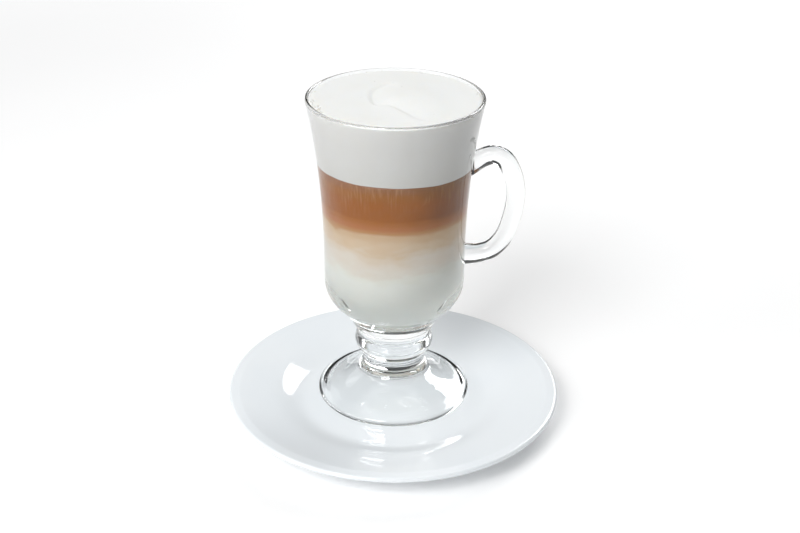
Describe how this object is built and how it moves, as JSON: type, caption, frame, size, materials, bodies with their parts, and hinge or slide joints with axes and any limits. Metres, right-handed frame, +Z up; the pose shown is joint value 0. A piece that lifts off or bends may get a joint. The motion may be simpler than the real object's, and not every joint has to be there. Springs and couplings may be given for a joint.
{
  "type": "layered latte in a footed glass mug on a saucer",
  "caption": "Layered milk-and-coffee drink with a foam top in a footed, handled glass mug, standing on a round white porcelain saucer.",
  "frame": {"origin": "centre of the saucer, on the plane that its foot ring stands on", "axes": "+Z up; +X from the saucer's centre towards the mug's handle; +Y away from the viewer of the picture, and the mug's axis stands 6 mm that way"},
  "size_m": [0.158, 0.158, 0.1572],
  "materials": {
    "clear_glass": "polished",
    "milk_foam": "matte",
    "coffee": "gloss",
    "milky_coffee": "gloss",
    "milk": "gloss",
    "white_glaze": "gloss"
  },
  "bodies": {
    "root": {"glass_mug": "clear_glass", "milk_foam": "milk_foam", "coffee_layer": "coffee", "blend_layer": "milky_coffee", "steamed_milk": "milk", "saucer": "white_glaze"}
  },
  "joints": []
}
